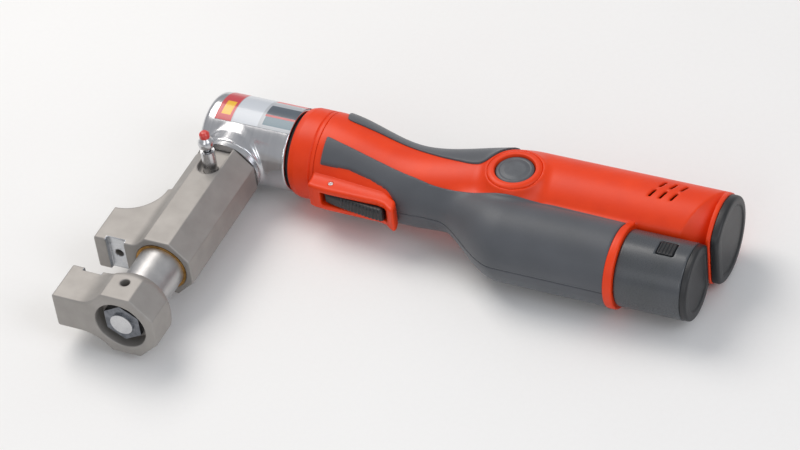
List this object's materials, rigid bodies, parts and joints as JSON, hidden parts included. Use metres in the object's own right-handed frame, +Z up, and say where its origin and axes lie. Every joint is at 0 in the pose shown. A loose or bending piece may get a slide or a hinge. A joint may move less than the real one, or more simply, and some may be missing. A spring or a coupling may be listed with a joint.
{
  "type": "battery pipe press tool",
  "caption": "Cordless hydraulic press tool for sliding-sleeve pipe fittings: swivelling press head, fixed jaw arm, sliding yoke, waisted grip and slide-out battery.",
  "frame": {"origin": "under the middle of the whole tool's box at rest, on the surface that the tool lies on", "axes": "+X along the handle from the press head to the battery end, +Y across the tool from the press jaws to the back of the handle, +Z up from the surface that the tool lies on"},
  "size_m": [0.349, 0.2, 0.0725],
  "materials": {
    "chrome_head": "polished",
    "label_foil": "satin",
    "blasted_steel": "matte",
    "bright_steel": "satin",
    "dark_steel": "satin",
    "spring_steel": "satin",
    "bronze": "satin",
    "gear_steel": "satin",
    "pump_alloy": "satin",
    "seal_rubber": "matte",
    "orange_plastic": "satin",
    "grip_rubber": "matte",
    "black_plastic": "satin",
    "battery_plastic": "satin",
    "button_plastic": "satin",
    "copper_winding": "satin",
    "board_laminate": "satin",
    "cell_sleeve": "satin",
    "contact_metal": "polished"
  },
  "bodies": {
    "handle": {"pump_body": "pump_alloy", "swivel_clip": "spring_steel", "swivel_seal": "seal_rubber", "dust_ring": "seal_rubber", "pump_plunger": "bright_steel", "plunger_spring": "spring_steel", "oil_bladder": "seal_rubber", "front_bearing": "bright_steel", "ring_gear": "gear_steel", "motor_can": "bright_steel", "circuit_board": "board_laminate", "contact_block": "black_plastic", "trigger_switch": "black_plastic", "housing_left": "orange_plastic", "housing_right": "orange_plastic", "front_collar": "orange_plastic", "trigger_guard": "orange_plastic", "grip_left": "grip_rubber", "grip_right": "grip_rubber", "accent_ring": "orange_plastic", "rear_bumper": "black_plastic", "button_bezel": "orange_plastic", "housing_screws": "dark_steel", "trigger_pin": "bright_steel", "trigger_spring": "spring_steel", "button_spring": "spring_steel"},
    "head": {"head_housing": "chrome_head", "head_label": "label_foil", "press_gland": "bright_steel", "rod_seal": "seal_rubber"},
    "block": {"press_block": "blasted_steel", "guide_bush": "bronze", "return_spring": "spring_steel", "index_barrel": "bright_steel", "pin_spring": "spring_steel"},
    "index_pin": {"index_pin": "bright_steel", "pin_knob": "bright_steel"},
    "ram": {"piston_rod": "bright_steel", "piston": "bright_steel", "piston_seal": "seal_rubber", "guide_sleeve": "bright_steel", "yoke": "blasted_steel", "lock_screw": "dark_steel", "rod_nut": "bright_steel"},
    "trigger": {"trigger": "black_plastic"},
    "release_button": {"release_button": "button_plastic"},
    "rotor": {"rotor": "copper_winding", "sun_gear": "gear_steel"},
    "carrier": {"planet_carrier": "bright_steel"},
    "planet_1": {"planet_gear_1": "gear_steel"},
    "planet_2": {"planet_gear_2": "gear_steel"},
    "planet_3": {"planet_gear_3": "gear_steel"},
    "battery": {"battery_shell": "battery_plastic", "battery_cells": "cell_sleeve", "battery_contacts": "contact_metal", "battery_cap": "black_plastic"},
    "latch_left": {"latch_left": "black_plastic"},
    "latch_right": {"latch_right": "black_plastic"}
  },
  "joints": [
    {"name": "head_swivel", "type": "hinge", "parent": "handle", "child": "head", "pos_m": [-0.1035, 0.069, 0.0275], "axis": [1, 0, 0], "range_deg": [-175, 175]},
    {"name": "block_swivel", "type": "hinge", "parent": "head", "child": "block", "pos_m": [-0.1315, 0.027, 0.0275], "axis": [0, 1, 0], "range_deg": [-180, 180]},
    {"name": "press_stroke", "type": "slide", "parent": "block", "child": "ram", "axis": [0, 1, 0], "range_m": [0, 0.02], "stiffness_N_per_m": 1500, "springref_m": -0.012, "deforming": ["return_spring"]},
    {"name": "pin_pull", "type": "slide", "parent": "block", "child": "index_pin", "axis": [0, 0, 1], "range_m": [0, 0.004], "stiffness_N_per_m": 600, "springref_m": -0.003, "deforming": ["pin_spring"]},
    {"name": "trigger_pull", "type": "hinge", "parent": "handle", "child": "trigger", "pos_m": [-0.0615, 0.0385, 0.0275], "axis": [0, 0, 1], "range_deg": [0, 6], "stiffness_Nm_per_rad": 0.4, "springref_deg": -8.59, "deforming": ["trigger_spring"]},
    {"name": "release_press", "type": "slide", "parent": "handle", "child": "release_button", "axis": [0, 0, -1], "range_m": [0, 0.002], "stiffness_N_per_m": 900, "springref_m": -0.0015, "deforming": ["button_spring"]},
    {"name": "motor_spin", "type": "hinge", "parent": "handle", "child": "rotor", "pos_m": [0.0585, 0.069, 0.0275], "axis": [1, 0, 0], "continuous": true},
    {"name": "carrier_spin", "type": "hinge", "parent": "handle", "child": "carrier", "pos_m": [-0.0115, 0.069, 0.0275], "axis": [1, 0, 0], "continuous": true},
    {"name": "planet_1_spin", "type": "hinge", "parent": "carrier", "child": "planet_1", "pos_m": [0.024, 0.0771, 0.0275], "axis": [1, 0, 0], "continuous": true},
    {"name": "planet_2_spin", "type": "hinge", "parent": "carrier", "child": "planet_2", "pos_m": [0.024, 0.06495, 0.03451], "axis": [1, 0, 0], "continuous": true},
    {"name": "planet_3_spin", "type": "hinge", "parent": "carrier", "child": "planet_3", "pos_m": [0.024, 0.06495, 0.02048], "axis": [1, 0, 0], "continuous": true},
    {"name": "battery_slide", "type": "slide", "parent": "handle", "child": "battery", "axis": [1, 0, 0], "range_m": [0, 0.075]},
    {"name": "latch_left_press", "type": "slide", "parent": "battery", "child": "latch_left", "axis": [0, 0, -1], "range_m": [0, 0.002], "stiffness_N_per_m": 800, "springref_m": -0.0015},
    {"name": "latch_right_press", "type": "slide", "parent": "battery", "child": "latch_right", "axis": [0, 0, 1], "range_m": [0, 0.002], "stiffness_N_per_m": 800, "springref_m": -0.0015}
  ],
  "couplings": [
    {"joint": "carrier_spin", "follows": "motor_spin", "ratio": 0.22222},
    {"joint": "planet_1_spin", "follows": "motor_spin", "ratio": -0.62222},
    {"joint": "planet_2_spin", "follows": "motor_spin", "ratio": -0.62222},
    {"joint": "planet_3_spin", "follows": "motor_spin", "ratio": -0.62222}
  ]
}
